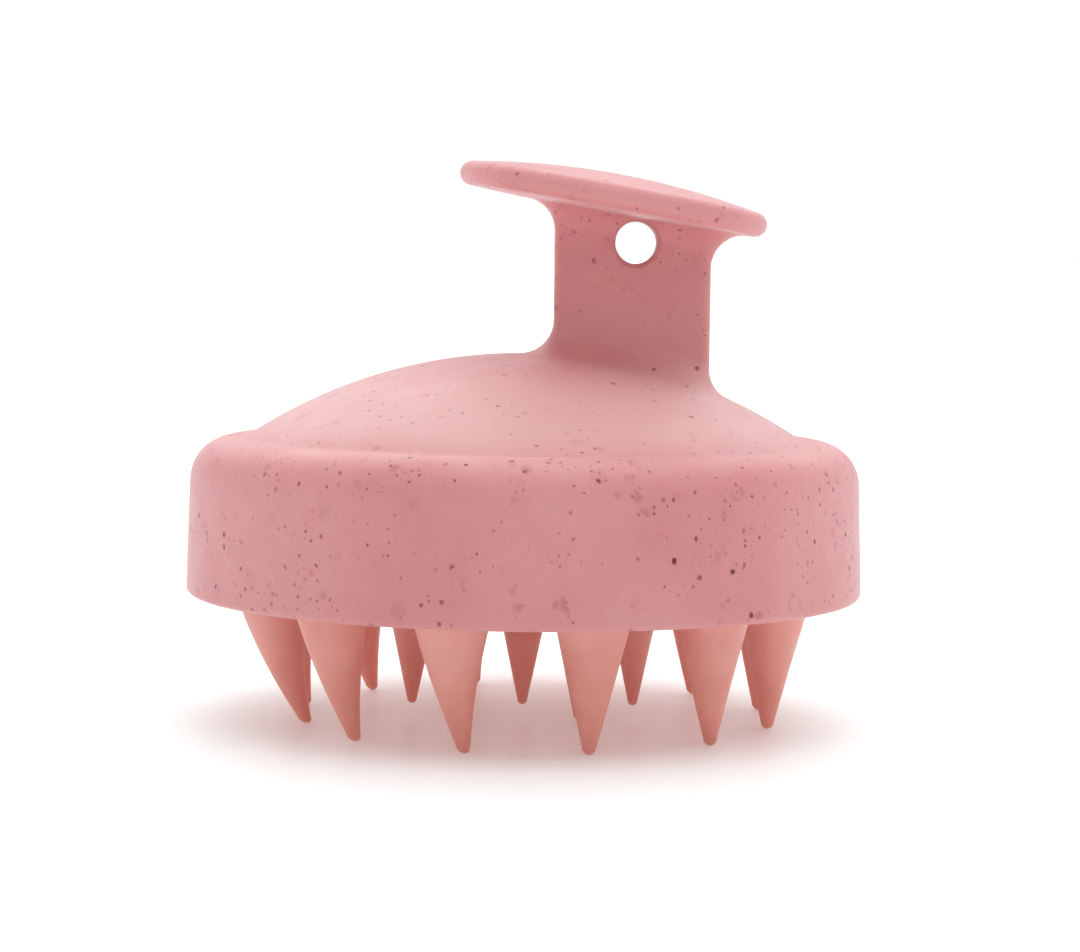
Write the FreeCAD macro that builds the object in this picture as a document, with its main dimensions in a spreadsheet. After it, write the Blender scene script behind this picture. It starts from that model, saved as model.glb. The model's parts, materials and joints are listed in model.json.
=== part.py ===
"""Scalp massager brush: a moulded shell with a finger handle, and a push-fit head of soft bristles.

Frame, in millimetres: +Z up, origin on the floor under the middle of the shell, where the outer
bristles stand. +X runs from the dome's crown towards the handle's low side, +Y through the hole
in the handle. The left and right halves about the plane Y = 0 are alike.
"""
import FreeCAD, Part
import math
import os
from collections import namedtuple

import Sketcher

# Driving dimensions in millimetres and degrees. Heights are above the floor.
SIZES = {
    # shell: dome, shoulder and skirt
    "skirt_radius": 40.0,
    "skirt_base": 15.0,
    "skirt_draft": 0.4,
    "wall": 2.2,
    "dome_top": 43.4,
    "dome_radius": 59.0,
    "crease_radius": 32.9,
    "crease_setback": 0.9,
    "crest_radius": 34.6,
    "shoulder_base": 28.3,
    "crease_round": 1.2,
    "edge_round": 0.8,
    # handle: flat stem with a hole, and a round finger plate that tips down towards +X
    "stem_left": 3.2,
    "stem_right": 21.6,
    "stem_depth": 7.0,
    "stem_round": 1.0,
    "stem_foot": 36.0,
    "foot_flare": 4.0,
    "head_flare": 3.9,
    "stem_sink": 0.8,
    "hole_middle": 12.8,
    "hole_height": 56.6,
    "hole_radius": 2.5,
    "hole_round": 0.3,
    "plate_middle": 10.1,
    "plate_height": 61.75,
    "plate_tilt": 9.7,
    "plate_radius": 18.4,
    "plate_rim": 1.4,
    "plate_crown": 1.55,
    "plate_belly": 0.35,
    # sockets and ribs inside the shell
    "socket_ring": 15.0,
    "socket_radius": 3.5,
    "socket_foot": 22.05,
    "socket_head": 40.2,
    "socket_depth": 10.5,
    "rib_foot": 29.0,
    "rib_reach": 31.0,
    "rib_thickness": 1.6,
    # carrier: stiff plate that backs the soft pad, with pins for the sockets
    "carrier_radius": 35.5,
    "carrier_base": 20.0,
    "carrier_thickness": 2.0,
    "pin_radius": 2.0,
    "pin_length": 9.0,
    "pin_clearance": 0.15,
    "pin_chamfer": 0.5,
    "hoop_radius": 24.0,
    "hoop_width": 1.4,
    "hoop_height": 1.6,
    # pad: silicone disc whose lip grips the carrier's edge
    "pad_radius": 37.0,
    "pad_base": 16.8,
    "lip_thickness": 1.0,
    "lip_reach": 2.4,
    "pad_round": 0.6,
    # bristles: soft cones, each turning about a point inside its root
    "pivot_height": 12.8,
    "root_height": 4.0,
    "root_radius": 4.8,
    "neck_height": 1.0,
    "neck_radius": 3.9,
    "tip_radius": 1.1,
    "cup_clearance": 0.15,
    "inner_ring": 13.2,
    "inner_lift": 1.4,
    "inner_neck_radius": 3.0,
    "inner_tip_radius": 0.6,
    "outer_ring": 29.8,
    "outer_lean": 8.0,
}
INNER_COUNT = 6
OUTER_COUNT = 12
OUTER_FIRST_TURN = 180 / OUTER_COUNT    # half a step, so that no outer bristle stands on the X axis
SOCKET_COUNT = 4
SHEET = "Sizes"
CLEAR = 1.0    # how far a cut starts outside the solid that it opens
SLACK = 0.02   # how near a measured place must be to count as the one that is looked for
EDGE_SAMPLES = 7

# How one kind of bristle differs from another: tip height, lean, and the radii at neck and tip.
BristleForm = namedtuple("BristleForm", "lift lean neck tip")


class Dim:
    """A size as a number together with the sheet expression that gives it."""

    def __init__(self, value, text):
        self.value = float(value)
        self.text = text

    @staticmethod
    def of(other):
        return other if isinstance(other, Dim) else Dim(other, str(other))

    def _join(self, other, sign, value):
        return Dim(value, f"({self.text} {sign} {Dim.of(other).text})")

    def __add__(self, other):
        return self._join(other, "+", self.value + Dim.of(other).value)

    def __sub__(self, other):
        return self._join(other, "-", self.value - Dim.of(other).value)

    def __mul__(self, other):
        return self._join(other, "*", self.value * Dim.of(other).value)

    def __truediv__(self, other):
        return self._join(other, "/", self.value / Dim.of(other).value)

    def __neg__(self):
        return Dim(-self.value, f"(-1 * {self.text})")


ZERO = Dim(0, "0")


def root_of(dim):
    return Dim(math.sqrt(dim.value), f"sqrt({dim.text})")


def cosine(dim):
    return Dim(math.cos(math.radians(dim.value)), f"cos({dim.text})")


def sine(dim):
    return Dim(math.sin(math.radians(dim.value)), f"sin({dim.text})")


def arc_tangent(dim):
    return Dim(math.degrees(math.atan(dim.value)), f"atan({dim.text})")


def arc_sine(dim):
    return Dim(math.degrees(math.asin(dim.value)), f"asin({dim.text})")


class Sizes:
    """The sheet's cells as attributes, so that size.wall is the Dim of the cell named wall."""

    def __init__(self, doc):
        sheet = doc.addObject("Spreadsheet::Sheet", SHEET)
        for row, (name, value) in enumerate(SIZES.items(), start=1):
            sheet.set(f"A{row}", name)
            sheet.set(f"B{row}", str(value))
            sheet.setAlias(f"B{row}", name)
            setattr(self, name, Dim(value, f"{SHEET}.{name}"))


def bind(thing, prop, dim):
    thing.setExpression(prop, dim.text)


def new_body(doc, label):
    body = doc.addObject("PartDesign::Body", label)
    body.Label = label
    return body


def origin_part(body, role):
    return next(item for item in body.Origin.OriginFeatures if item.Role == role)


def new_sketch(body, name, role="XZ_Plane"):
    sketch = body.newObject("Sketcher::SketchObject", name)
    sketch.AttachmentSupport = [(origin_part(body, role), "")]
    sketch.MapMode = "FlatFace"
    return sketch


def hold(sketch, geometry, point, across=None, up=None):
    """Ties a sketch point to the sketch's origin by bound distances."""
    for kind, axis, dim in (("DistanceX", -2, across), ("DistanceY", -1, up)):
        if dim is None:
            continue
        if Dim.of(dim).value == 0:
            sketch.addConstraint(Sketcher.Constraint("PointOnObject", geometry, point, axis))
            continue
        index = sketch.addConstraint(
            Sketcher.Constraint(kind, -1, 1, geometry, point, dim.value))
        bind(sketch, f"Constraints[{index}]", dim)


class Outline:
    """A closed outline of lines and arcs in a sketch, every vertex bound to the sheet."""

    def __init__(self, sketch, across, up):
        self.sketch = sketch
        self.first = self.last = (Dim.of(across), Dim.of(up))
        self.joint = None
        self.start_piece = None

    def _add(self, piece, start, end):
        index = self.sketch.addGeometry(piece, False)
        if self.joint:
            join = Sketcher.Constraint("Coincident", *self.joint, index, start)
            self.sketch.addConstraint(join)
        else:
            self.start_piece = (index, start)
            hold(self.sketch, index, start, *self.first)
        self.joint = (index, end)
        return index

    def line(self, across, up):
        end = (Dim.of(across), Dim.of(up))
        segment = Part.LineSegment(spot(self.last), spot(end))
        index = self._add(segment, 1, 2)
        hold(self.sketch, index, 2, *end)
        self.last = end
        return self

    def arc(self, middle, across=None, up=None, far_side=False):
        """An arc round middle to the point on its circle with the given across or up."""
        middle = (Dim.of(middle[0]), Dim.of(middle[1]))
        start, centre = spot(self.last), spot(middle)
        radius = (start - centre).Length
        side = -1 if far_side else 1
        if up is None:
            reach = Dim.of(across).value - centre.x
            end = FreeCAD.Vector(centre.x + reach, centre.y + side * math.sqrt(radius**2 - reach**2), 0)
        else:
            reach = Dim.of(up).value - centre.y
            end = FreeCAD.Vector(centre.x + side * math.sqrt(radius**2 - reach**2), centre.y + reach, 0)
        turns = [math.atan2(p.y - centre.y, p.x - centre.x) for p in (start, end)]
        swing = (turns[1] - turns[0] + math.pi) % (2 * math.pi) - math.pi
        circle = Part.Circle(centre, FreeCAD.Vector(0, 0, 1), radius)
        if swing > 0:
            piece, ends = Part.ArcOfCircle(circle, turns[0], turns[0] + swing), (1, 2)
        else:
            piece, ends = Part.ArcOfCircle(circle, turns[0] + swing, turns[0]), (2, 1)
        index = self._add(piece, *ends)
        hold(self.sketch, index, 3, *middle)
        hold(self.sketch, index, ends[1], across, up)
        self.last = (Dim.of(end.x), Dim.of(end.y))
        return self

    def close(self):
        """Joins the end to the start with a straight line."""
        index = self.sketch.addGeometry(Part.LineSegment(spot(self.last), spot(self.first)), False)
        for end, other in ((1, self.joint), (2, self.start_piece)):
            self.sketch.addConstraint(Sketcher.Constraint("Coincident", index, end, *other))


def spot(pair):
    return FreeCAD.Vector(pair[0].value, pair[1].value, 0)


def circle_at(sketch, radius, across, up):
    """A circle held at a bound place with a bound radius."""
    middle = FreeCAD.Vector(Dim.of(across).value, Dim.of(up).value, 0)
    index = sketch.addGeometry(Part.Circle(middle, FreeCAD.Vector(0, 0, 1), radius.value), False)
    hold(sketch, index, 3, across, up)
    constraint = sketch.addConstraint(Sketcher.Constraint("Radius", index, radius.value))
    bind(sketch, f"Constraints[{constraint}]", radius)


def revolve(body, sketch, name, kind="Revolution"):
    feature = body.newObject(f"PartDesign::{kind}", name)
    feature.Profile = sketch
    feature.ReferenceAxis = (sketch, ["V_Axis"])
    feature.Angle = 360
    sketch.Visibility = False
    return feature


def pad(body, sketch, name, length, both_ways=False):
    feature = body.newObject("PartDesign::Pad", name)
    feature.Profile = sketch
    bind(feature, "Length", length)
    feature.Midplane = both_ways
    return feature


def raise_sketch(sketch, height):
    bind(sketch, "AttachmentOffset.Base.z", height)


def round_edges(doc, body, name, radius, wanted, kind="Fillet", prop="Radius"):
    """Rounds the edges of the body's present solid that wanted(edge) picks."""
    doc.recompute()
    base = body.Tip
    names = [f"Edge{n}" for n, edge in enumerate(base.Shape.Edges, start=1) if wanted(edge)]
    if not names:
        raise RuntimeError(f"{name} finds no edge")
    feature = body.newObject(f"PartDesign::{kind}", name)
    feature.Base = (base, names)
    bind(feature, prop, radius)
    doc.recompute()
    return feature


def circle_of(edge):
    """The circle that an edge follows, or None."""
    if edge.Degenerated or not isinstance(edge.Curve, Part.Circle):
        return None
    return edge.Curve


def near(first, second):
    return abs(first - second) < SLACK


def is_ring(edge, radius, height, across=0):
    """True for an edge on a circle of that radius whose middle is at that height and distance."""
    circle = circle_of(edge)
    return (circle is not None and near(circle.Radius, radius)
            and near(circle.Center.z, height) and near(circle.Center.x, across))


def flare(edge, side, radius, round_middle, round_radius, below):
    """The arc that joins an upright edge to a big circle, tangent to both.

    Gives the arc's middle and the point where it meets the big circle. side is -1 for the left edge
    and 1 for the right; below is true where the arc lies under the big circle's middle.
    """
    across = edge + radius * side
    reach = round_radius + radius
    offset = across - round_middle[0]
    rise = root_of(reach * reach - offset * offset)
    if below:
        rise = -rise
    share = round_radius / reach
    middle = (across, rise + round_middle[1])
    meeting = (offset * share + round_middle[0], rise * share + round_middle[1])
    return middle, meeting


def add_flare(outline, middle, meeting, towards_edge, far_side):
    """Draws a flare between its meeting point and the upright edge."""
    if towards_edge:
        outline.arc(middle, up=middle[1], far_side=far_side)
    else:
        outline.arc(middle, across=meeting[0], far_side=far_side)


def stem_outline(sketch, size):
    """The stem from the front: upright sides that flare into the dome and into the plate."""
    dome = (ZERO, dome_centre(size)[1])
    belly_radius = sagitta_radius(plate_flat(size), size.plate_belly)
    lift = belly_radius - size.plate_rim - size.plate_belly
    belly = (size.plate_middle + lift * sine(size.plate_tilt),
             size.plate_height + lift * cosine(size.plate_tilt))
    left, right = size.stem_left, size.stem_right
    foot_l = flare(left, -1, size.foot_flare, dome, size.dome_radius, False)
    foot_r = flare(right, 1, size.foot_flare, dome, size.dome_radius, False)
    head_l = flare(left, -1, size.head_flare, belly, belly_radius, True)
    head_r = flare(right, 1, size.head_flare, belly, belly_radius, True)
    outline = Outline(sketch, foot_l[1][0], size.stem_foot)
    outline.line(foot_r[1][0], size.stem_foot)
    outline.line(*foot_r[1])
    add_flare(outline, *foot_r, towards_edge=True, far_side=True)
    outline.line(right, head_r[0][1])
    add_flare(outline, *head_r, towards_edge=False, far_side=False)
    outline.line(head_r[1][0], head_r[1][1] + size.stem_sink)
    outline.line(head_l[1][0], head_l[1][1] + size.stem_sink)
    outline.line(*head_l[1])
    add_flare(outline, *head_l, towards_edge=True, far_side=False)
    outline.line(left, foot_l[0][1])
    add_flare(outline, *foot_l, towards_edge=False, far_side=True)
    outline.close()


def sagitta_radius(half_width, rise):
    """Radius of the arc with that half width and that rise at its middle."""
    return (half_width * half_width + rise * rise) / (rise * 2)


def plate_flat(size):
    """Distance from the plate's middle to where its rim starts to round."""
    return size.plate_radius - size.plate_rim


def dome_centre(size):
    return (0, size.dome_top - size.dome_radius)


def outer_form(body, size):
    """The solid dome, shoulder and skirt before they are hollowed."""
    sketch = new_sketch(body, "outer_profile")
    shoulder = (size.crest_radius, size.shoulder_base)
    outline = Outline(sketch, 0, size.skirt_base)
    outline.line(size.skirt_radius, size.skirt_base)
    outline.line(size.skirt_radius - size.skirt_draft, size.shoulder_base)
    outline.arc(shoulder, across=size.crest_radius - size.crease_setback)
    outline.line(size.crease_radius, dome_height(size, size.crease_radius))
    outline.arc(dome_centre(size), across=ZERO)
    outline.close()
    return revolve(body, sketch, "outer_form")


def dome_height(size, across):
    """Height of the dome's outer face at a distance from its axis."""
    return size.dome_top - size.dome_radius + root_of(
        size.dome_radius * size.dome_radius - across * across)


def plate_profile(body, size):
    """Half of the finger plate: crowned top, round rim, and a belly that deepens to the middle."""
    sketch = new_sketch(body, "plate_profile")
    sketch.AttachmentOffset = FreeCAD.Placement(
        FreeCAD.Vector(0, 0, 0), FreeCAD.Rotation(FreeCAD.Vector(0, 0, 1), -size.plate_tilt.value))
    bind(sketch, "AttachmentOffset.Base.x", size.plate_middle)
    bind(sketch, "AttachmentOffset.Base.y", size.plate_height)
    rim = size.plate_rim
    flat = plate_flat(size)
    crown_radius = sagitta_radius(flat, size.plate_crown)
    belly_radius = sagitta_radius(flat, size.plate_belly)
    outline = Outline(sketch, 0, -(rim + size.plate_belly))
    outline.arc((0, belly_radius - rim - size.plate_belly), across=flat, far_side=True)
    outline.arc((flat, 0), up=ZERO)
    outline.arc((flat, 0), across=flat)
    outline.arc((0, rim + size.plate_crown - crown_radius), across=ZERO)
    outline.close()
    return revolve(body, sketch, "finger_plate")


def cavity(body, size):
    """Hollows the shell to its wall, from below."""
    sketch = new_sketch(body, "cavity_profile")
    inside = size.skirt_radius - size.wall
    top = size.shoulder_base - size.skirt_draft
    shoulder = (size.crest_radius, top)
    dome_start = size.crease_radius - size.wall / 2
    mouth = size.skirt_base - CLEAR
    outline = Outline(sketch, 0, mouth)
    outline.line(inside, mouth)
    outline.line(inside - size.skirt_draft, top)
    outline.arc(shoulder, across=size.crest_radius)
    inner_radius = size.dome_radius - size.wall
    start_height = size.dome_top - size.dome_radius + root_of(
        inner_radius * inner_radius - dome_start * dome_start)
    outline.line(dome_start, start_height)
    outline.arc(dome_centre(size), across=ZERO)
    outline.close()
    return revolve(body, sketch, "cavity", "Groove")


def sockets(doc, body, size):
    """Four posts under the dome, bored from below for the carrier's pins."""
    posts = new_sketch(body, "socket_posts", "XY_Plane")
    bores = new_sketch(body, "socket_bores", "XY_Plane")
    for sketch, radius in ((posts, size.socket_radius), (bores, size.pin_radius + size.pin_clearance)):
        raise_sketch(sketch, size.socket_foot)
        for turn in socket_turns():
            circle_at(sketch, radius, size.socket_ring * cosine(turn), size.socket_ring * sine(turn))
    pad(body, posts, "sockets", size.socket_head - size.socket_foot)
    doc.recompute()
    before = body.Tip.Shape.Volume
    holes = body.newObject("PartDesign::Pocket", "socket_holes")
    holes.Profile = bores
    holes.Reversed = True
    bind(holes, "Length", size.socket_depth)
    doc.recompute()
    if not holes.Shape.Volume < before:
        raise RuntimeError("the socket holes cut nothing")


def socket_turns():
    step = 360 / SOCKET_COUNT
    return [Dim.of(step * n + step / 2) for n in range(SOCKET_COUNT)]


def ribs(body, size):
    """Two crossing ribs that follow the dome and stiffen it."""
    middle_radius = size.dome_radius - size.wall / 2
    centre = dome_centre(size)
    reach = size.rib_reach
    end_height = centre[1] + root_of(middle_radius * middle_radius - reach * reach)
    for role in ("XZ_Plane", "YZ_Plane"):
        sketch = new_sketch(body, f"rib_{role[:2]}", role)
        outline = Outline(sketch, -reach, size.rib_foot)
        outline.line(reach, size.rib_foot)
        outline.line(reach, end_height)
        outline.arc(centre, across=-reach)
        outline.close()
        pad(body, sketch, f"rib_{role[:2]}_pad", size.rib_thickness, both_ways=True)


def hang_hole(body, size):
    sketch = new_sketch(body, "hole_circle")
    circle_at(sketch, size.hole_radius, size.hole_middle, size.hole_height)
    hole = body.newObject("PartDesign::Pocket", "hang_hole")
    hole.Profile = sketch
    hole.Type = "ThroughAll"
    hole.Midplane = True
    return hole


def on_stem_side(edge, size):
    """True for an edge along the stem's front or back face that meets one of its upright sides."""
    points = edge.discretize(Number=EDGE_SAMPLES)
    on_face = all(near(abs(p.y), size.stem_depth.value / 2) for p in points)
    sides = (size.stem_left.value, size.stem_right.value)
    return on_face and any(near(p.x, side) for p in points for side in sides)


def make_handle_shell(doc, size):
    body = new_body(doc, "handle_shell")
    stem = new_sketch(body, "stem_profile")
    stem_outline(stem, size)
    pad(body, stem, "stem", size.stem_depth, both_ways=True)
    round_edges(doc, body, "stem_rounding", size.stem_round, lambda edge: on_stem_side(edge, size))
    outer_form(body, size)
    plate_profile(body, size)
    crease_height = dome_height(size, size.crease_radius).value
    crest_edge = size.crest_radius.value - size.crease_setback.value
    shoulder_radius = size.skirt_radius.value - size.skirt_draft.value - size.crest_radius.value
    crest_height = size.shoulder_base.value + math.sqrt(shoulder_radius**2 - size.crease_setback.value**2)
    round_edges(doc, body, "crease_rounding", size.crease_round,
                lambda edge: is_ring(edge, size.crease_radius.value, crease_height)
                or is_ring(edge, crest_edge, crest_height))
    cavity(body, size)
    doc.recompute()
    sockets(doc, body, size)
    ribs(body, size)
    round_edges(doc, body, "skirt_edge_rounding", size.edge_round,
                lambda edge: is_ring(edge, size.skirt_radius.value, size.skirt_base.value))
    hang_hole(body, size)
    round_edges(doc, body, "hole_rounding", size.hole_round,
                lambda edge: is_ring(edge, size.hole_radius.value, size.hole_height.value,
                                     size.hole_middle.value))
    return body


def make_carrier(doc, size):
    body = new_body(doc, "bristle_carrier")
    disc = new_sketch(body, "disc_circle", "XY_Plane")
    raise_sketch(disc, size.carrier_base)
    circle_at(disc, size.carrier_radius, ZERO, ZERO)
    pad(body, disc, "disc", size.carrier_thickness)
    top = size.carrier_base + size.carrier_thickness
    hoop = new_sketch(body, "hoop_rings", "XY_Plane")
    raise_sketch(hoop, top)
    circle_at(hoop, size.hoop_radius, ZERO, ZERO)
    circle_at(hoop, size.hoop_radius - size.hoop_width, ZERO, ZERO)
    pad(body, hoop, "hoop", size.hoop_height)
    pins = new_sketch(body, "pin_circles", "XY_Plane")
    raise_sketch(pins, top)
    for turn in socket_turns():
        circle_at(pins, size.pin_radius, size.socket_ring * cosine(turn), size.socket_ring * sine(turn))
    pad(body, pins, "pins", size.pin_length)
    pin_top = (top + size.pin_length).value
    round_edges(doc, body, "pin_points", size.pin_chamfer,
                lambda edge: circle_of(edge) and near(edge.Curve.Center.z, pin_top),
                kind="Chamfer", prop="Size")
    return body


def make_pad(doc, size):
    body = new_body(doc, "bristle_pad")
    sketch = new_sketch(body, "pad_profile")
    top = size.carrier_base + size.carrier_thickness
    edge_round = size.pad_round
    outline = Outline(sketch, 0, size.pad_base)
    outline.line(size.pad_radius - edge_round, size.pad_base)
    outline.arc((size.pad_radius - edge_round, size.pad_base + edge_round), up=size.pad_base + edge_round)
    outline.line(size.pad_radius, top + size.lip_thickness)
    outline.line(size.carrier_radius - size.lip_reach, top + size.lip_thickness)
    outline.line(size.carrier_radius - size.lip_reach, top)
    outline.line(size.carrier_radius, top)
    outline.line(size.carrier_radius, size.carrier_base)
    outline.line(0, size.carrier_base)
    outline.close()
    revolve(body, sketch, "pad_form")
    doc.recompute()
    cup_radius = root_reach(size) + size.cup_clearance
    rings = (("centre", ZERO, 1, 0), ("inner", size.inner_ring, INNER_COUNT, 0),
             ("outer", size.outer_ring, OUTER_COUNT, OUTER_FIRST_TURN))
    for name, ring, count, first_turn in rings:
        cup = body.newObject("PartDesign::SubtractiveSphere", f"cup_{name}")
        bind(cup, "Radius", cup_radius)
        turn = Dim.of(first_turn)
        bind(cup, "Placement.Base.x", ring * cosine(turn))
        bind(cup, "Placement.Base.y", ring * sine(turn))
        bind(cup, "Placement.Base.z", size.pivot_height)
        doc.recompute()
        if count > 1:
            pattern = body.newObject("PartDesign::PolarPattern", f"cups_{name}")
            pattern.Originals = [cup]
            pattern.Axis = (origin_part(body, "Z_Axis"), [""])
            pattern.Angle = 360
            pattern.Occurrences = count
            body.Tip = pattern
            doc.recompute()
    return body


def root_reach(size):
    """Distance from a bristle's pivot to the rim of its root, the radius of its rounded top."""
    return root_of(size.root_radius * size.root_radius + size.root_height * size.root_height)


def make_bristle(doc, size, label, ring, turn, form):
    """A cone about its own Z axis with the pivot at its origin, then set in its place."""
    body = new_body(doc, label)
    sketch = new_sketch(body, f"{label}_profile")
    tip_middle = -((size.pivot_height - form.lift - form.tip) / cosine(form.lean))
    drop = size.neck_height - tip_middle
    span = root_of(drop * drop + form.neck * form.neck)
    taper = arc_tangent(form.neck / drop) - arc_sine(form.tip / span)
    outline = Outline(sketch, 0, root_reach(size))
    outline.arc((0, 0), across=size.root_radius)
    outline.line(form.neck, size.neck_height)
    outline.line(form.tip * cosine(taper), tip_middle - form.tip * sine(taper))
    outline.arc((0, tip_middle), across=ZERO, far_side=True)
    outline.close()
    revolve(body, sketch, f"{label}_form")
    angle = math.radians(turn)
    place = FreeCAD.Vector(ring.value * math.cos(angle), ring.value * math.sin(angle),
                           size.pivot_height.value)
    facing = FreeCAD.Rotation(FreeCAD.Vector(0, 0, 1), turn)
    tilt = FreeCAD.Rotation(FreeCAD.Vector(0, 1, 0), form.lean.value)
    body.Placement = FreeCAD.Placement(place, facing.multiply(tilt))
    return body


def make_bristles(doc, size):
    inner = BristleForm(size.inner_lift, ZERO, size.inner_neck_radius, size.inner_tip_radius)
    outer = BristleForm(ZERO, size.outer_lean, size.neck_radius, size.tip_radius)
    made = [make_bristle(doc, size, "bristle_centre", ZERO, 0, inner)]
    for n in range(INNER_COUNT):
        turn = 360 / INNER_COUNT * n
        made.append(make_bristle(doc, size, f"bristle_inner_{n + 1}", size.inner_ring, turn, inner))
    for n in range(OUTER_COUNT):
        turn = OUTER_FIRST_TURN + 360 / OUTER_COUNT * n
        made.append(make_bristle(doc, size, f"bristle_outer_{n + 1:02d}", size.outer_ring, turn, outer))
    return made


def check(doc, subparts):
    """Stops the script if any object failed or any sub-part isn't a sound single solid."""
    failed = [item.Name for item in doc.Objects if {"Invalid", "Error"} & set(item.State)]
    if failed:
        raise RuntimeError(f"these objects failed: {failed}")
    for part in subparts:
        shape = part.Shape
        if shape.isNull() or not shape.isValid() or len(shape.Solids) != 1:
            raise RuntimeError(f"{part.Label} isn't one sound solid")


def main():
    doc = FreeCAD.newDocument("scalp_massager_brush")
    size = Sizes(doc)
    doc.recompute()
    subparts = [make_handle_shell(doc, size), make_carrier(doc, size), make_pad(doc, size)]
    subparts += make_bristles(doc, size)
    doc.recompute()
    check(doc, subparts)
    os.makedirs("parts", exist_ok=True)
    for part in subparts:
        part.Shape.exportStep(f"parts/{part.Label}.step")
        box = part.Shape.BoundBox
        print(f"{part.Label}: {part.Shape.Volume:.0f} mm3, z {box.ZMin:.2f} to {box.ZMax:.2f}")


main()
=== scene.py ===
import json
import math

import bpy
import numpy as np
from mathutils import Matrix, Vector


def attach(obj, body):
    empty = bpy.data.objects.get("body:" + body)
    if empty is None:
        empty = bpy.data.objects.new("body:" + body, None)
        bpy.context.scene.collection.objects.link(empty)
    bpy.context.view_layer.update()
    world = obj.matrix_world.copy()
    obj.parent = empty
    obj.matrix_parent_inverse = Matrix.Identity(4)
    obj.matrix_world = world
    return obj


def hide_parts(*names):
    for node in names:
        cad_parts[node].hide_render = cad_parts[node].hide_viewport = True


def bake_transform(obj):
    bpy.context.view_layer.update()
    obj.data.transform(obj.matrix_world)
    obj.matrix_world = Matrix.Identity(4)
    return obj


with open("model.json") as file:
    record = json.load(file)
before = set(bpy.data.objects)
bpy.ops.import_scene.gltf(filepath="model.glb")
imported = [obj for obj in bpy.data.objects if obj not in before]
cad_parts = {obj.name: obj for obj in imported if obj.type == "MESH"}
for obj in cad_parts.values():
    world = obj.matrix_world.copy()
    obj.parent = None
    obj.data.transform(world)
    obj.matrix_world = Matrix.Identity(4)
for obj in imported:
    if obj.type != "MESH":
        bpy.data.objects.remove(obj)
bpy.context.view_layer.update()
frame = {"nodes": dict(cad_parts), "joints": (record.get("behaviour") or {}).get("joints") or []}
mm = 0.001
root = "massager"


def arc(middle, radius, start, end, count):
    # Points on a circle: middle plus radius times (cosine, sine), from one angle to the other in degrees.
    turn = np.radians(np.linspace(start, end, count))
    return np.stack([middle[0] + radius * np.cos(turn), middle[1] + radius * np.sin(turn)], -1)


def angleAt(middle, point):
    return math.degrees(math.atan2(point[1] - middle[1], point[0] - middle[0]))


def line(start, end, count):
    # Points evenly spaced from start to end, both ends left out.
    share = np.linspace(0, 1, count + 2)[1:-1, None]
    return np.array(start) * (1 - share) + np.array(end) * share


def revolve(profile, columns):
    # Each profile point (distance, height) is carried round the Z axis: x and y are distance times
    # cosine and sine of the column's angle, and z is the height.
    turn = np.linspace(0, 2 * np.pi, columns, endpoint=False)
    x = profile[:, :1] * np.cos(turn)
    y = profile[:, :1] * np.sin(turn)
    z = np.repeat(profile[:, 1:], columns, axis=1)
    return np.stack([x, y, z], -1)


def volumeOf(points, faces):
    # Signed volume: a sixth of the sum of each triangle's corner dotted with the cross of the others.
    a, b, c = (points[faces[:, k]] for k in range(3))
    return float((a * np.cross(b, c)).sum() / 6)


def closedMesh(name, grid):
    # grid[row, column] is a point. Columns close on themselves, and the first and last rows are poles.
    rows, columns = grid.shape[:2]
    points = np.concatenate([grid[:1].mean(1), grid[1:-1].reshape(-1, 3), grid[-1:].mean(1)])
    index = 1 + np.arange((rows - 2) * columns).reshape(rows - 2, columns)
    beside = np.roll(index, -1, axis=1)
    quads = np.stack([index[:-1], beside[:-1], beside[1:], index[1:]], -1).reshape(-1, 4)
    first = np.stack([np.zeros(columns, int), beside[0], index[0]], -1)
    last = np.stack([np.full(columns, len(points) - 1), index[-1], beside[-1]], -1)
    caps = np.concatenate([first, last])
    triangles = np.concatenate([quads[:, [0, 1, 2]], quads[:, [0, 2, 3]], caps])
    if volumeOf(points, triangles) < 0:
        quads, caps = quads[:, ::-1], caps[:, ::-1]
    mesh = bpy.data.meshes.new(name)
    mesh.from_pydata(points.tolist(), [], quads.tolist() + caps.tolist())
    mesh.shade_smooth()
    mesh.update()
    piece = bpy.data.objects.new(name, mesh)
    bpy.context.scene.collection.objects.link(piece)
    return piece


def turned(points, degrees, pivot):
    # Turned about the Y axis through pivot, so that a positive angle lowers the +X side.
    c, s = math.cos(math.radians(degrees)), math.sin(math.radians(degrees))
    x = points[..., 0] * c + points[..., 2] * s + pivot[0]
    z = -points[..., 0] * s + points[..., 2] * c + pivot[2]
    return np.stack([x, points[..., 1] + pivot[1], z], -1)


def nodeMaterial(name):
    material = bpy.data.materials.new(name)
    material.use_nodes = True
    tree = material.node_tree
    shader = tree.nodes["Principled BSDF"]
    where = tree.nodes.new("ShaderNodeTexCoord").outputs["Object"]
    return material, tree, shader, where


def noise(tree, where, scale, detail=2.0, roughness=0.5):
    node = tree.nodes.new("ShaderNodeTexNoise")
    node.inputs["Scale"].default_value = scale
    node.inputs["Detail"].default_value = detail
    node.inputs["Roughness"].default_value = roughness
    tree.links.new(where, node.inputs["Vector"])
    return node.outputs["Fac"]


def ramp(tree, value, low, high, start=0.0, end=1.0):
    node = tree.nodes.new("ShaderNodeMapRange")
    node.interpolation_type = "SMOOTHSTEP"
    for socket, number in (("From Min", low), ("From Max", high), ("To Min", start), ("To Max", end)):
        node.inputs[socket].default_value = number
    tree.links.new(value, node.inputs["Value"])
    return node.outputs["Result"]


def maths(tree, operation, first, second):
    node = tree.nodes.new("ShaderNodeMath")
    node.operation = operation
    for socket, value in zip(node.inputs, (first, second)):
        if isinstance(value, (int, float)):
            socket.default_value = value
        else:
            tree.links.new(value, socket)
    return node.outputs["Value"]


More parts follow.
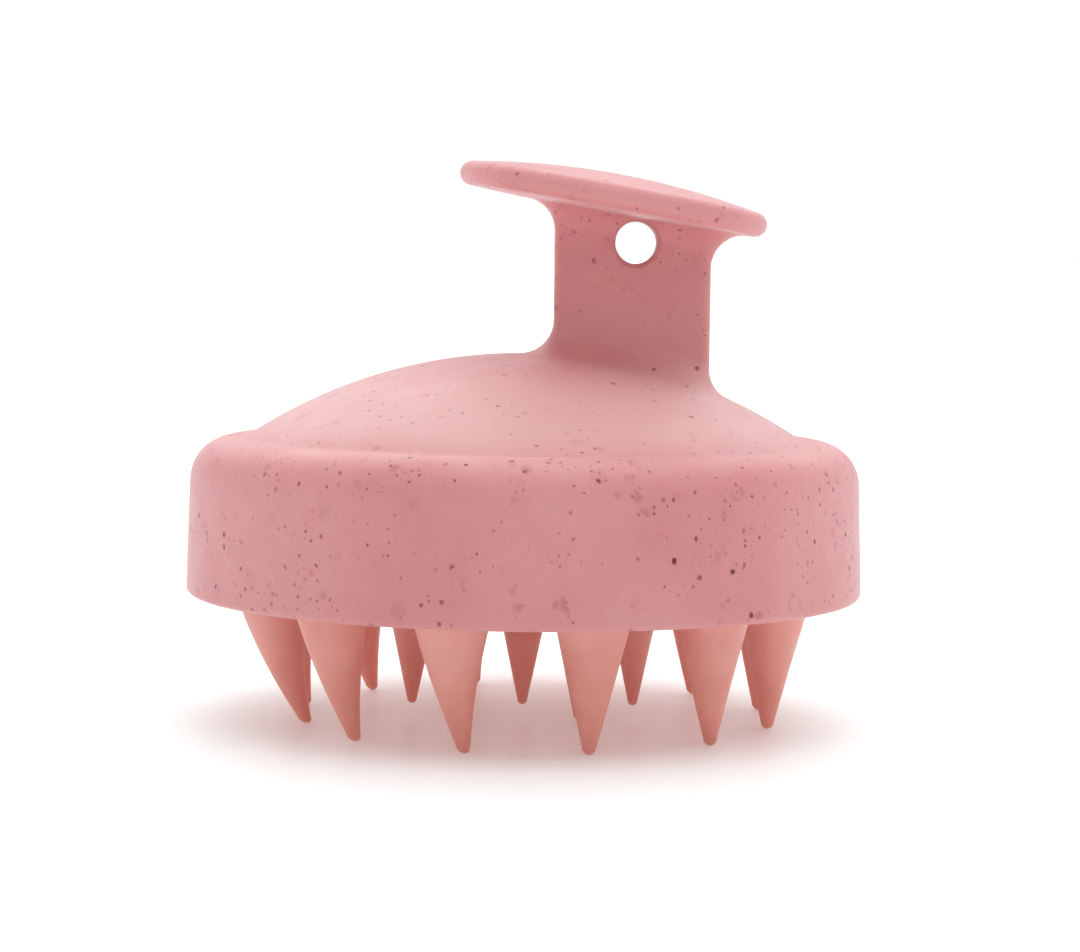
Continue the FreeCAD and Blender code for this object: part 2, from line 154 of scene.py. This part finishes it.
def mixed(tree, share, first, second):
    node = tree.nodes.new("ShaderNodeMix")
    node.data_type = "RGBA"
    tree.links.new(share, node.inputs["Factor"])
    for socket, value in ((node.inputs["A"], first), (node.inputs["B"], second)):
        if isinstance(value, tuple):
            socket.default_value = (*value, 1)
        else:
            tree.links.new(value, socket)
    return node.outputs["Result"]


def specks(tree, where, scale, share, size, edge, wobble):
    # Voronoi cells: a cell whose random value is under share holds a blob, and a second random value
    # sets the blob's radius. Noise pushes the lookup about so that no blob is round.
    shift = tree.nodes.new("ShaderNodeTexNoise")
    shift.inputs["Scale"].default_value = scale * 2.2
    tree.links.new(where, shift.inputs["Vector"])
    centred = tree.nodes.new("ShaderNodeVectorMath")
    centred.operation = "SUBTRACT"
    centred.inputs[1].default_value = (0.5, 0.5, 0.5)
    tree.links.new(shift.outputs["Color"], centred.inputs[0])
    scaled = tree.nodes.new("ShaderNodeVectorMath")
    scaled.operation = "SCALE"
    scaled.inputs["Scale"].default_value = wobble / scale
    tree.links.new(centred.outputs["Vector"], scaled.inputs[0])
    moved = tree.nodes.new("ShaderNodeVectorMath")
    tree.links.new(where, moved.inputs[0])
    tree.links.new(scaled.outputs["Vector"], moved.inputs[1])
    cells = tree.nodes.new("ShaderNodeTexVoronoi")
    cells.inputs["Scale"].default_value = scale
    tree.links.new(moved.outputs["Vector"], cells.inputs["Vector"])
    parts = tree.nodes.new("ShaderNodeSeparateColor")
    tree.links.new(cells.outputs["Color"], parts.inputs["Color"])
    chosen = maths(tree, "LESS_THAN", parts.outputs["Red"], share)
    radius = maths(tree, "MULTIPLY_ADD", parts.outputs["Green"], size)
    radius.node.inputs[2].default_value = size * 0.35
    inside = maths(tree, "SUBTRACT", radius, cells.outputs["Distance"])
    blob = maths(tree, "MULTIPLY", chosen, ramp(tree, inside, 0.0, edge))
    return maths(tree, "MULTIPLY", blob, ramp(tree, parts.outputs["Blue"], 0.0, 1.0, 0.35, 1.0))


def strawPlastic():
    # the dome colour is painted sheen: a paler pink in place of the whitish reflection on the dome
    look = {"base": (0.70, 0.275, 0.285), "pale": (0.73, 0.305, 0.305), "rosy": (0.67, 0.245, 0.26),
            "speck": (0.16, 0.008, 0.018), "shade": (0.40, 0.10, 0.11), "fibre": (0.58, 0.25, 0.20),
            "dome": (0.77, 0.44, 0.43), "paintedSheenShare": 0.85, "domeFoot": (31 * mm, 36 * mm),
            "domeTop": (38.5 * mm, 44.5 * mm), "skirtCrowd": 0.60, "handleCrowd": 0.35, "domeCrowd": 0.26,
            "roughness": 0.50, "sheen": 0.20, "sheenRoughness": 0.35, "subsurface": 0.12}
    # each row is cells to the metre, size and strength, and for the dots a share of the crowd as well
    smudges = ((270, 0.30, 0.30), (430, 0.34, 0.50))
    dots = ((800, 0.55, 0.28, 1.0), (1300, 0.7, 0.30, 0.7))
    material, tree, shader, where = nodeMaterial("strawPlastic")
    cloud = ramp(tree, noise(tree, where, 55, 3), 0.35, 0.65)
    colour = mixed(tree, cloud, look["rosy"], look["pale"])
    colour = mixed(tree, ramp(tree, noise(tree, where, 420, 2), 0.3, 0.7, 0.0, 0.5), colour, look["base"])
    height = tree.nodes.new("ShaderNodeSeparateXYZ")
    tree.links.new(where, height.inputs["Vector"])
    low = ramp(tree, height.outputs["Z"], *look["domeFoot"], 1.0, 0.0)
    raised = ramp(tree, height.outputs["Z"], *look["domeTop"], 0.0, 1.0)
    # painted sheen: the dome gets a paler, whiter pink that stands in for the whitish reflection it catches
    # from the bright surroundings, blended in above the skirt and out again below the handle
    dome = maths(tree, "SUBTRACT", 1.0, maths(tree, "ADD", low, raised))
    colour = mixed(tree, maths(tree, "MULTIPLY", dome, look["paintedSheenShare"]), colour, look["dome"])
    # specks gather in clusters, densest on the skirt and sparsest on the dome
    onSkirt = maths(tree, "MULTIPLY", low, look["skirtCrowd"])
    onHandle = maths(tree, "MULTIPLY", raised, look["handleCrowd"])
    spread = maths(tree, "ADD", onSkirt, onHandle)
    cluster = ramp(tree, noise(tree, where, 95, 2), 0.40, 0.62, 0.15, 1.1)
    share = maths(tree, "MULTIPLY", maths(tree, "ADD", spread, look["domeCrowd"]), cluster)
    for scale, size, strength in smudges:
        faint = specks(tree, where, scale, maths(tree, "MULTIPLY", share, 1.6), size, 0.34, 0.55)
        colour = mixed(tree, maths(tree, "MULTIPLY", faint, strength), colour, look["shade"])
    stretched = tree.nodes.new("ShaderNodeMapping")
    stretched.inputs["Rotation"].default_value = (0.4, 0.7, 0.3)
    stretched.inputs["Scale"].default_value = (0.35, 1.0, 1.0)
    tree.links.new(where, stretched.inputs["Vector"])
    fibre = specks(tree, stretched.outputs["Vector"], 1100, share, 0.20, 0.15, 0.3)
    colour = mixed(tree, maths(tree, "MULTIPLY", fibre, 0.6), colour, look["fibre"])
    for scale, crowd, size, strength in dots:
        dark = specks(tree, where, scale, maths(tree, "MULTIPLY", share, crowd), size, 0.20, 0.45)
        colour = mixed(tree, maths(tree, "MULTIPLY", dark, strength), colour, look["speck"])
    tree.links.new(colour, shader.inputs["Base Color"])
    smooth, dull = look["roughness"] - 0.05, look["roughness"] + 0.07
    finish = ramp(tree, noise(tree, where, 240, 3), 0.3, 0.7, smooth, dull)
    tree.links.new(finish, shader.inputs["Roughness"])
    shader.inputs["Sheen Weight"].default_value = look["sheen"]
    shader.inputs["Sheen Roughness"].default_value = look["sheenRoughness"]
    shader.inputs["Subsurface Weight"].default_value = look["subsurface"]
    shader.inputs["Subsurface Radius"].default_value = (1.0, 0.45, 0.40)
    shader.inputs["Subsurface Scale"].default_value = 1.5 * mm
    addBump(tree, shader, where, (1500, 3, 0.035 * mm), (160, 2, 0.05 * mm))
    print("straw plastic")
    return material


def addBump(tree, shader, where, *layers):
    # Each layer is (noise scale, detail, height in metres).
    normal = None
    for scale, detail, depth in layers:
        bump = tree.nodes.new("ShaderNodeBump")
        bump.inputs["Strength"].default_value = 0.5
        bump.inputs["Distance"].default_value = depth
        tree.links.new(noise(tree, where, scale, detail), bump.inputs["Height"])
        if normal:
            tree.links.new(normal, bump.inputs["Normal"])
        normal = bump.outputs["Normal"]
    tree.links.new(normal, shader.inputs["Normal"])


def softSilicone():
    look = {"tip": (0.86, 0.365, 0.295), "root": (0.89, 0.42, 0.37), "cloud": (0.76, 0.28, 0.23),
            "fade": (2 * mm, 16 * mm), "subsurface": 0.30}
    material, tree, shader, where = nodeMaterial("softSilicone")
    height = tree.nodes.new("ShaderNodeSeparateXYZ")
    tree.links.new(where, height.inputs["Vector"])
    colour = mixed(tree, ramp(tree, height.outputs["Z"], *look["fade"]), look["tip"], look["root"])
    patches = ramp(tree, noise(tree, where, 180, 3), 0.35, 0.7, 0.0, 0.45)
    colour = mixed(tree, patches, colour, look["cloud"])
    tree.links.new(colour, shader.inputs["Base Color"])
    tree.links.new(ramp(tree, noise(tree, where, 500, 2), 0.3, 0.7, 0.42, 0.55), shader.inputs["Roughness"])
    shader.inputs["Subsurface Weight"].default_value = look["subsurface"]
    shader.inputs["Subsurface Radius"].default_value = (1.0, 0.35, 0.25)
    shader.inputs["Subsurface Scale"].default_value = 2.5 * mm
    addBump(tree, shader, where, (2200, 2, 0.02 * mm), (300, 2, 0.05 * mm))
    print("soft silicone")
    return material


def carrierPlastic():
    look = {"deep": (0.70, 0.40, 0.38), "pale": (0.76, 0.47, 0.45), "speck": (0.16, 0.05, 0.06)}
    material, tree, shader, where = nodeMaterial("carrierPlastic")
    colour = mixed(tree, ramp(tree, noise(tree, where, 90, 3), 0.35, 0.65), look["deep"], look["pale"])
    dark = specks(tree, where, 500, 0.3, 0.26, 0.1, 0.6)
    colour = mixed(tree, maths(tree, "MULTIPLY", dark, 0.7), colour, look["speck"])
    tree.links.new(colour, shader.inputs["Base Color"])
    tree.links.new(ramp(tree, noise(tree, where, 300, 2), 0.3, 0.7, 0.5, 0.6), shader.inputs["Roughness"])
    addBump(tree, shader, where, (1400, 2, 0.03 * mm))
    print("carrier plastic")
    return material


shell = {"skirtRadius": 40.0 * mm, "draft": 0.4 * mm, "base": 15.0 * mm, "wall": 2.2 * mm,
         "edge": 0.8 * mm, "domeTop": 43.4 * mm, "domeRadius": 59.0 * mm, "crest": 34.6 * mm,
         "shoulderBase": 28.3 * mm, "groove": 2.0 * mm, "underside": 1.5, "columns": 320}
domeMiddle = (0.0, shell["domeTop"] - shell["domeRadius"])


def shellProfile():
    # Outside from the crown: dome arc, hollow arc touching both dome and shoulder, shoulder arc, drafted
    # skirt, rounded lip. Inside going back: skirt wall, shoulder arc, dome arc a wall's thickness smaller.
    s = shell
    shoulder = (s["crest"], s["shoulderBase"])
    shoulderRadius = s["skirtRadius"] - s["draft"] - s["crest"]
    # The groove's circle touches two circles, so its middle is where their enlarged copies cross.
    far, near = s["domeRadius"] + s["groove"], shoulderRadius + s["groove"]
    gap = np.subtract(shoulder, domeMiddle)
    span = math.hypot(*gap)
    along = (far**2 - near**2 + span**2) / (2 * span)
    across = math.sqrt(far**2 - along**2)
    unit = gap / span
    groove = np.array(domeMiddle) + along * unit + across * np.array([-unit[1], unit[0]])
    onDome = angleAt(domeMiddle, groove)
    onShoulder = angleAt(shoulder, groove)
    edge, base, outer = s["edge"], s["base"], s["skirtRadius"]
    inner = outer - s["wall"]
    hollow = s["shoulderBase"] - s["draft"]
    hollowRadius = inner - s["draft"] - s["crest"]
    insideStart = onDome + s["underside"]  # degrees nearer the crown, clear of the groove
    return np.concatenate([
        arc(domeMiddle, s["domeRadius"], 90, onDome, 56),
        arc(groove, s["groove"], onDome - 180, onShoulder - 180, 10)[1:],
        arc(shoulder, shoulderRadius, onShoulder, 0, 22)[1:],
        line((outer - s["draft"], shoulder[1]), (outer, base + edge), 12),
        arc((outer - edge, base + edge), edge, 0, -90, 7),
        arc((inner + edge, base + edge), edge, -90, -180, 7),
        line((inner, base + edge), (inner - s["draft"], hollow), 6),
        arc((s["crest"], hollow), hollowRadius, 0, 90, 10),
        arc(domeMiddle, s["domeRadius"] - s["wall"], insideStart, 90, 30)])


handle = {"stemMiddle": 12.4 * mm, "halfWidth": 9.2 * mm, "halfDepth": 3.5 * mm, "corner": 1.0 * mm,
          "footSide": 4.0 * mm, "footFace": 4.5 * mm, "headSide": 3.9 * mm, "headFace": 3.0 * mm,
          "plate": (10.1 * mm, 0.0, 61.75 * mm), "tilt": 9.7, "plateRadius": 18.4 * mm, "rim": 1.4 * mm,
          "crown": 1.55 * mm, "belly": 0.35 * mm, "hole": (12.8 * mm, 56.6 * mm), "holeRadius": 2.5 * mm,
          "holeLip": 0.35 * mm, "cutterReach": 2 * mm, "cornerSteps": 10, "faceSteps": 36, "edgeSteps": 12}
# how far out from the stem, and how far under the face it lands on, each hidden row of a flare lies
hiddenRows = ((1.1 * mm, 1.1 * mm), (0.35 * mm, 0.02 * mm))


def sagittaRadius(halfWidth, rise):
    return (halfWidth**2 + rise**2) / (2 * rise)


def plateSurface():
    # A lens: belly arc, round rim and crown arc, turned about its own axis and then tilted.
    h = handle
    flat = h["plateRadius"] - h["rim"]
    crownRadius = sagittaRadius(flat, h["crown"])
    bellyRadius = sagittaRadius(flat, h["belly"])
    bellyMiddle = (0.0, bellyRadius - h["rim"] - h["belly"])
    crownMiddle = (0.0, h["rim"] + h["crown"] - crownRadius)
    profile = np.concatenate([
        arc(bellyMiddle, bellyRadius, -90, angleAt(bellyMiddle, (flat, -h["rim"])), 30),
        arc((flat, 0), h["rim"], -90, 90, 20)[1:],
        arc(crownMiddle, crownRadius, angleAt(crownMiddle, (flat, h["rim"])), 90, 40)[1:]])
    return turned(revolve(profile, 224), h["tilt"], h["plate"])


def stemSection():
    # A round-cornered rectangle as points and outward normals, going round it once.
    h = handle
    w, d, c = h["halfWidth"] - h["corner"], h["halfDepth"] - h["corner"], h["corner"]
    corners = ((1, 1), (-1, 1), (-1, -1), (1, -1))
    points, normals = [], []
    for k, (sideX, sideY) in enumerate(corners):
        turn = np.radians(90 * k + np.linspace(0, 90, h["cornerSteps"]))
        normal = np.stack([np.cos(turn), np.sin(turn)], -1)
        points.append(np.array([sideX * w, sideY * d]) + c * normal)
        normals.append(normal)
        nextX, nextY = corners[(k + 1) % 4]
        stop = np.array([nextX * w, nextY * d]) + c * normal[-1]
        run = line(points[-1][-1], stop, h["edgeSteps"] if k % 2 else h["faceSteps"])
        points.append(run)
        normals.append(np.repeat(normal[-1:], len(run), axis=0))
    points = np.concatenate(points) + np.array([h["stemMiddle"], 0])
    return points, np.concatenate(normals)


def flareRows(points, normals, radius, middle, ballRadius, side, count):
    # A ball of the given radius rolls along the wall and over a sphere. Its middle stands radius out from
    # the wall, at the height where it touches the sphere, and the surface is the arc between the two
    # contacts. side is 1 above the sphere and -1 below it. Rows run from the sphere to the wall.
    centre = points + normals * radius[:, None]
    offset = centre - np.array(middle[:2])
    height = middle[2] + side * np.sqrt((ballRadius + radius)**2 - (offset**2).sum(-1))
    centre = np.concatenate([centre, height[:, None]], -1)
    down = (np.array(middle) - centre) / (ballRadius + radius)[:, None]
    back = np.concatenate([-normals, np.zeros((len(normals), 1))], -1)
    angle = np.arccos((down * back).sum(-1))[None, :, None]
    share = np.linspace(0, 1, count)[:, None, None]
    direction = (np.sin((1 - share) * angle) * down + np.sin(share * angle) * back) / np.sin(angle)
    rows = centre + radius[None, :, None] * direction
    # Two rows under the sphere's face carry the surface on, so that the meeting line shades evenly.
    under = []
    for reach, sink in hiddenRows:
        flat = rows[0][:, :2] + normals * reach
        inner = (ballRadius - sink)**2 - ((flat - np.array(middle[:2]))**2).sum(-1)
        under.append(np.concatenate([flat, (middle[2] + side * np.sqrt(inner))[:, None]], -1))
    return np.concatenate([np.array(under), rows])


def stemSurface():
    h = handle
    points, normals = stemSection()
    sideways = normals[:, 0]**2
    foot = h["footSide"] * sideways + h["footFace"] * (1 - sideways)
    head = h["headSide"] * sideways + h["headFace"] * (1 - sideways)
    dome = (0.0, 0.0, domeMiddle[1])
    flat = h["plateRadius"] - h["rim"]
    bellyRadius = sagittaRadius(flat, h["belly"])
    lift = np.array([0.0, 0.0, bellyRadius - h["rim"] - h["belly"]])
    belly = tuple(turned(lift, h["tilt"], h["plate"]))
    lower = flareRows(points, normals, foot, dome, shell["domeRadius"], 1, 14)
    upper = flareRows(points, normals, head, belly, bellyRadius, -1, 14)[::-1]
    share = np.linspace(0, 1, 22)[1:-1, None, None]
    middle = lower[-1] * (1 - share) + upper[0] * share
    rows = np.concatenate([lower, middle, upper])
    first = np.repeat(rows[:1].mean(1, keepdims=True), rows.shape[1], axis=1)
    last = np.repeat(rows[-1:].mean(1, keepdims=True), rows.shape[1], axis=1)
    return np.concatenate([first, rows, last])


def holeCutter():
    # A spool on the hole's axis: straight through the stem, flaring by the lip's radius at each face.
    h = handle
    lip, depth = h["holeLip"], h["halfDepth"]
    radius = h["holeRadius"]
    end = depth + h["cutterReach"]
    flareBack = arc((-(depth - lip), radius + lip), lip, 188, 270, 9)
    flareFront = arc((depth - lip, radius + lip), lip, 270, 352, 9)
    wide = flareBack[0, 1]
    along = np.concatenate([[(-end, 0), (-end, wide)], flareBack, flareFront, [(end, wide), (end, 0)]])
    spool = revolve(along[:, ::-1], 96)
    return np.stack([spool[..., 0] + h["hole"][0], spool[..., 2], spool[..., 1] + h["hole"][1]], -1)


def makeShell(plastic):
    body = closedMesh("shell_dome", revolve(shellProfile(), shell["columns"]))
    plate = closedMesh("finger_plate", plateSurface())
    stem = closedMesh("handle_stem", stemSurface())
    cutter = closedMesh("cutter", holeCutter())
    cut = stem.modifiers.new("hole", "BOOLEAN")
    cut.operation = "DIFFERENCE"
    cut.solver = "EXACT"
    cut.object = cutter
    solid = bpy.data.meshes.new_from_object(stem.evaluated_get(bpy.context.evaluated_depsgraph_get()))
    stem.modifiers.clear()
    stem.data = solid
    bpy.data.objects.remove(cutter)
    for piece in (body, plate, stem):
        piece.data.materials.clear()
        piece.data.materials.append(plastic)
        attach(piece, root)
    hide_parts("handle_shell")
    print("shell", len(stem.data.polygons))


pad = {"radius": 37.0 * mm, "base": 16.8 * mm, "top": 23.0 * mm, "round": 0.8 * mm, "columns": 160}
bristle = {"pivot": 12.8 * mm, "root": 17.2 * mm, "rootRadius": 4.85 * mm, "neck": 15.0 * mm,
           "flare": 1.1 * mm, "inset": 0.15 * mm, "sink": 0.02 * mm, "brim": 0.1 * mm, "blendTop": 0.5 * mm,
           "blendFoot": 3 * mm, "rows": 40, "columns": 56}
outerForm = {"neckRadius": 4.2 * mm, "tip": 0.8 * mm, "lean": 8.0, "lift": 0.0, "settle": 1.2 * mm}
innerForm = {"neckRadius": 3.35 * mm, "tip": 0.6 * mm, "lean": 0.0, "lift": 1.4 * mm, "settle": 0.0}
# soft tips don't all stand true: how much further than settle these ones have moved along X
tipDrift = {"bristle_outer_07": 1.2 * mm, "bristle_outer_08": 0.3 * mm, "bristle_outer_10": -1.0 * mm}


def makePad(silicone):
    p = pad
    r, edge = p["radius"], p["round"]
    profile = np.concatenate([
        [(0, p["base"])], line((0, p["base"]), (r - edge, p["base"]), 12),
        arc((r - edge, p["base"] + edge), edge, -90, 0, 8),
        arc((r - edge, p["top"] - edge), edge, 0, 90, 6), [(0, p["top"])]])
    piece = closedMesh("soft_pad", revolve(profile, p["columns"]))
    piece.data.materials.append(silicone)
    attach(piece, root)
    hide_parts("bristle_pad")
    print("pad", len(piece.data.polygons))


def bristleSurface(middle, outward, form, settle):
    # Rows run down a cone whose radius falls evenly from neck to tip, with a hollow flare at the root and a
    # round tip. Its line leans inwards by the tangent of lean, more and more towards the tip.
    b = bristle
    tipMiddle = form["lift"] + form["tip"]
    heights = np.linspace(b["neck"], tipMiddle, b["rows"])
    fall = (b["neck"] - heights) / (b["neck"] - tipMiddle)
    cone = np.stack([form["neckRadius"] + (form["tip"] - form["neckRadius"]) * fall, heights], -1)
    flareStart = np.array([b["rootRadius"] + b["flare"], pad["base"] - b["sink"]])
    swing = np.linspace(0, 1, 9)[:, None]
    bend = np.array([b["rootRadius"] - b["inset"], pad["base"] - b["inset"]])
    flare = flareStart * (1 - swing)**2 + 2 * bend * swing * (1 - swing) + cone[0] * swing**2
    end = arc((0, tipMiddle), form["tip"], 0, -90, 9)
    top = np.array([(0, b["root"]), (flareStart[0] - b["brim"], b["root"])])
    profile = np.concatenate([top, flare, cone[1:], end[1:]])
    points = revolve(profile, b["columns"])
    depth = np.clip((pad["base"] - points[..., 2]) / pad["base"], 0, 1)
    inward = math.tan(math.radians(form["lean"])) * b["pivot"] * depth**1.5
    shift = -np.array(outward) * inward[..., None] + np.array([settle, 0]) * (depth**2)[..., None]
    points[..., :2] += np.array(middle) + shift
    return points


def makeBristles(silicone):
    for joint in frame["joints"]:
        node = joint["child"]
        pivot = np.array(joint["pos_m"])
        reach = float(np.hypot(*pivot[:2]))
        outward = pivot[:2] / reach if reach > mm else np.zeros(2)
        form = outerForm if "outer" in node else innerForm
        rise = pad["base"] - bristle["pivot"]
        middle = pivot[:2] + outward * math.tan(math.radians(form["lean"])) * rise
        settle = form["settle"] + tipDrift.get(node, 0.0)
        piece = closedMesh(node.replace("bristle_", "cone_"), bristleSurface(middle, outward, form, settle))
        piece.data.materials.append(silicone)
        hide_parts(node)
        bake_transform(piece)


stage = {"aim": (1.8, 0.0, 28.8), "eye": (1.8, -359.0, 55.2), "lens": 100.8, "roll": 0.7}


def pointAt(thing, place, target, roll=0.0):
    towards = Vector(target) - Vector(place)
    turn = towards.to_track_quat("-Z", "Y").to_matrix().to_4x4()
    thing.matrix_world = Matrix.Translation(place) @ turn @ Matrix.Rotation(math.radians(roll), 4, "Z")


def makeCamera():
    camera = bpy.data.objects.new("camera", bpy.data.cameras.new("camera"))
    bpy.context.scene.collection.objects.link(camera)
    camera.data.lens = stage["lens"]
    camera.data.sensor_width = 36
    camera.data.clip_start = 0.01
    pointAt(camera, Vector(stage["eye"]) * mm, Vector(stage["aim"]) * mm, stage["roll"])
    bpy.context.scene.camera = camera


def areaLight(name, place, size, power, target=(0, 0, 0.03)):
    lamp = bpy.data.objects.new(name, bpy.data.lights.new(name, "AREA"))
    bpy.context.scene.collection.objects.link(lamp)
    lamp.data.shape = "RECTANGLE"
    lamp.data.size, lamp.data.size_y = size
    lamp.data.energy = power
    pointAt(lamp, place, target)


light = {"sky": 0.50, "horizon": 0.85, "front": 0.08, "sun": 1.32, "side": 0.6, "back": 3.6, "key": 0.7,
         "floor": 0.17, "sweep": 0.45, "backdrop": 1.02, "sunAngle": 70, "sunPlace": (0.08, 0.0, 1.0)}
# each lamp's name, place, size and power
lamps = (("left", (-0.75, 0.25, 0.30), (0.5, 0.6), light["side"]),
         ("right", (0.75, 0.20, 0.30), (0.5, 0.6), light["side"]),
         ("back", (0.0, 0.60, 0.62), (1.3, 0.6), light["back"]),
         ("key", (0.0, -0.62, 0.72), (0.9, 0.5), light["key"]))


def makeWorld():
    # A white tent: bright behind the object, dimmer overhead, and darker in front.
    world = bpy.data.worlds.new("studio")
    world.use_nodes = True
    tree = world.node_tree
    where = tree.nodes.new("ShaderNodeTexCoord").outputs["Generated"]
    parts = tree.nodes.new("ShaderNodeSeparateXYZ")
    tree.links.new(where, parts.inputs["Vector"])
    above = ramp(tree, parts.outputs["Z"], 0.08, 0.40)
    around = ramp(tree, parts.outputs["Y"], -0.7, 0.8, light["front"], light["horizon"])
    strength = tree.nodes.new("ShaderNodeMix")
    strength.inputs["B"].default_value = light["sky"]
    tree.links.new(above, strength.inputs["Factor"])
    tree.links.new(around, strength.inputs["A"])
    # the backdrop itself is seen as plain white from every side
    seen = tree.nodes.new("ShaderNodeMix")
    seen.inputs["B"].default_value = light["backdrop"]
    path = tree.nodes.new("ShaderNodeLightPath")
    tree.links.new(path.outputs["Is Camera Ray"], seen.inputs["Factor"])
    tree.links.new(strength.outputs["Result"], seen.inputs["A"])
    tree.links.new(seen.outputs["Result"], tree.nodes["Background"].inputs["Strength"])
    tree.nodes["Background"].inputs["Color"].default_value = (1, 1, 1, 1)
    bpy.context.scene.world = world


def makeStage():
    mesh = bpy.data.meshes.new("floor")
    half = 40.0
    corners = [(-half, -half, 0), (half, -half, 0), (half, half, 0), (-half, half, 0)]
    mesh.from_pydata(corners, [], [(0, 1, 2, 3)])
    floor = bpy.data.objects.new("floor", mesh)
    bpy.context.scene.collection.objects.link(floor)
    material, tree, shader, where = nodeMaterial("paleFloor")
    shade = mixed(tree, noise(tree, where, 3), (0.86, 0.93, 0.93), (0.88, 0.95, 0.95))
    tree.links.new(shade, shader.inputs["Base Color"])
    shader.inputs["Roughness"].default_value = 0.45
    shader.inputs["Emission Color"].default_value = (1.0, 0.99, 0.985, 1)
    # the sweep glows more further out, so that it fades into the white behind
    away = tree.nodes.new("ShaderNodeVectorMath")
    away.operation = "LENGTH"
    tree.links.new(where, away.inputs[0])
    glow = ramp(tree, away.outputs["Value"], 0.07, 0.45, light["floor"], light["sweep"])
    tree.links.new(glow, shader.inputs["Emission Strength"])
    mesh.materials.append(material)
    sun = bpy.data.objects.new("sun", bpy.data.lights.new("sun", "SUN"))
    bpy.context.scene.collection.objects.link(sun)
    sun.data.energy = light["sun"]
    sun.data.angle = math.radians(light["sunAngle"])
    pointAt(sun, light["sunPlace"], (0, 0, 0))
    for lamp in lamps:
        areaLight(*lamp)
    makeWorld()
    makeCamera()
    bpy.context.scene.view_settings.view_transform = "Standard"
    print("stage", len(lamps), "lamps")


plastic = strawPlastic()
silicone = softSilicone()
makeShell(plastic)
makePad(silicone)
makeBristles(silicone)
carrier = frame["nodes"]["bristle_carrier"]
carrier.data.materials.clear()
carrier.data.materials.append(carrierPlastic())
makeStage()
